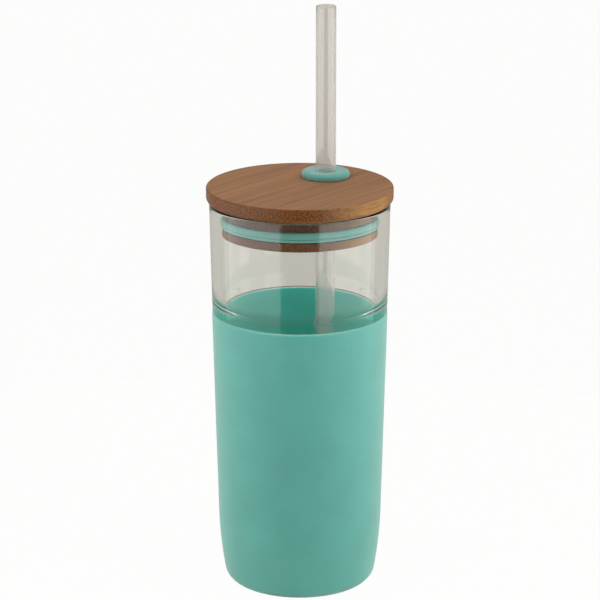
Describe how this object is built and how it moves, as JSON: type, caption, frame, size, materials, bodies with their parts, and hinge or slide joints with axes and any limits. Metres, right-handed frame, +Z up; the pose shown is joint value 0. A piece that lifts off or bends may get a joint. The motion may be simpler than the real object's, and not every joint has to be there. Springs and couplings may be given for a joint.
{
  "type": "lidded glass tumbler with straw",
  "caption": "Thick glass tumbler in a silicone sleeve, closed by a push-in bamboo lid with a seal ring and a straw sliding through a soft grommet.",
  "frame": {"origin": "on the turning axis, in the plane that the sleeve's underside stands on", "axes": "+Z up along the turning axis; the straw stands on the +Y side, and +X is to its right seen from the -Y side"},
  "size_m": [0.083, 0.083, 0.2613],
  "materials": {
    "sleeve_silicone": "matte mint-green silicone, softly mottled by dust and handling",
    "clear_glass": "clear polished soda-lime glass with a faint green edge",
    "bamboo": "fine-sanded laminated bamboo, unvarnished, straight grain, dotted end grain",
    "seal_silicone": "satin mint-green silicone",
    "grommet_silicone": "matte mint-green silicone",
    "straw_plastic": "clear, slightly smoky rigid plastic tube"
  },
  "bodies": {
    "sleeve": {"silicone_sleeve": "sleeve_silicone"},
    "glass": {"glass_tumbler": "clear_glass"},
    "seal": {"lid_seal_ring": "seal_silicone"},
    "lid": {"bamboo_lid": "bamboo", "straw_grommet": "grommet_silicone"},
    "straw_body": {"straw": "straw_plastic"}
  },
  "joints": [
    {"name": "glass_lift", "type": "slide", "parent": "sleeve", "child": "glass", "axis": [0, 0, 1], "range_m": [0, 0.13]},
    {"name": "lid_lift", "type": "slide", "parent": "glass", "child": "seal", "axis": [0, 0, 1], "range_m": [0, 0.18]},
    {"name": "lid_turn", "type": "hinge", "parent": "seal", "child": "lid", "pos_m": [0, 0, 0.17], "axis": [0, 0, 1], "continuous": true},
    {"name": "straw_slide", "type": "slide", "parent": "lid", "child": "straw_body", "axis": [0, 0, 1], "range_m": [0, 0.165]}
  ]
}
